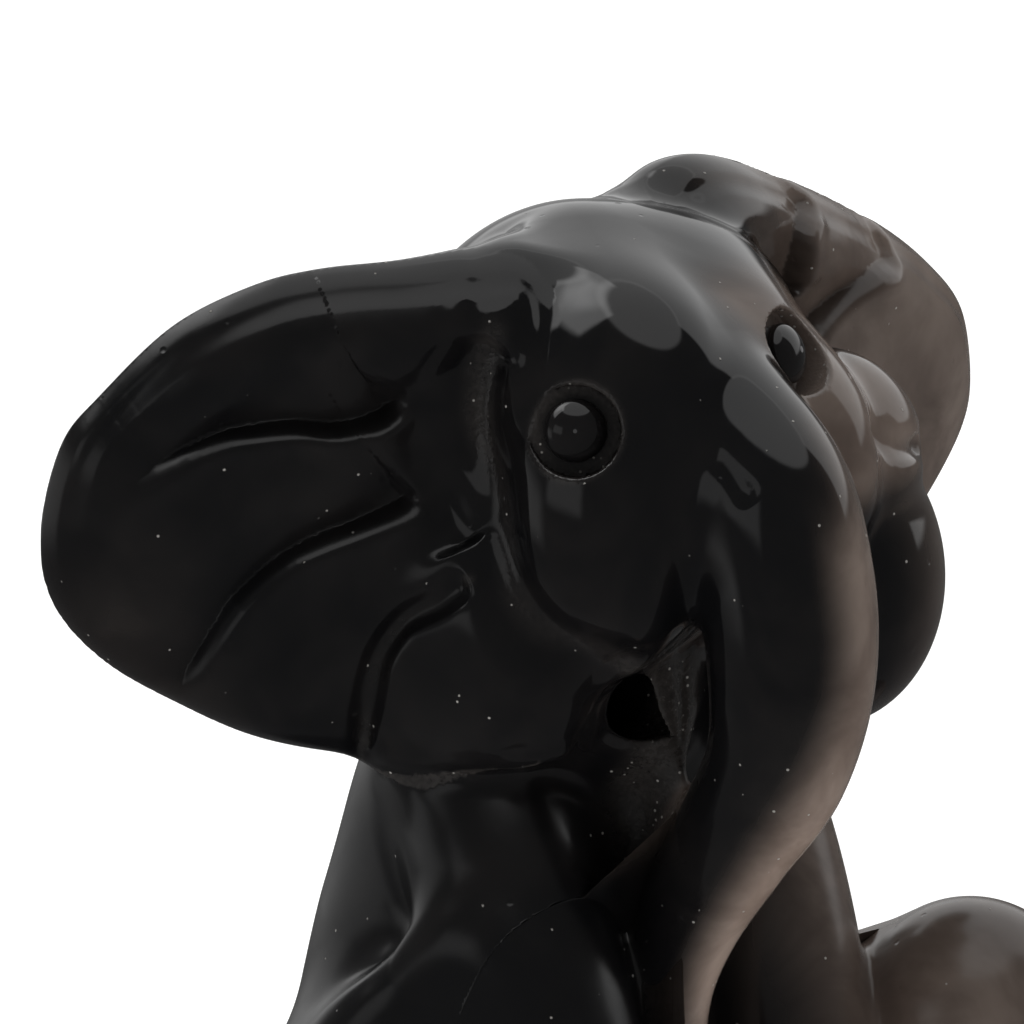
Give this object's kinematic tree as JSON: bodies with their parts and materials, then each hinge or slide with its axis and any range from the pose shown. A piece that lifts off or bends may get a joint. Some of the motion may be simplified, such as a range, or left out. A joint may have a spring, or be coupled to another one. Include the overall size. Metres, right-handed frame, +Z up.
{
  "type": "carved stone elephant figurine",
  "caption": "Small polished dark stone elephant, sitting upright, with broad veined ears spread wide, drilled ring eyes and the trunk hanging down in front of the chest.",
  "frame": {"origin": "middle of the flat base, on the surface it stands on", "axes": "+Z up, the elephant faces -Y, +X is its own left side"},
  "size_m": [0.0387, 0.0288, 0.0424],
  "materials": {
    "polished_stone": "polished volcanic glass, near black, brown and milky where thin",
    "eye_stone": "polished dark stone bead"
  },
  "bodies": {
    "root": {"torso": "polished_stone", "head": "polished_stone", "trunk": "polished_stone", "ear_left": "polished_stone", "ear_right": "polished_stone", "eye_left": "eye_stone", "eye_right": "eye_stone", "foreleg_left": "polished_stone", "foreleg_right": "polished_stone", "hind_leg_left": "polished_stone", "hind_leg_right": "polished_stone", "tail": "polished_stone"}
  },
  "joints": []
}
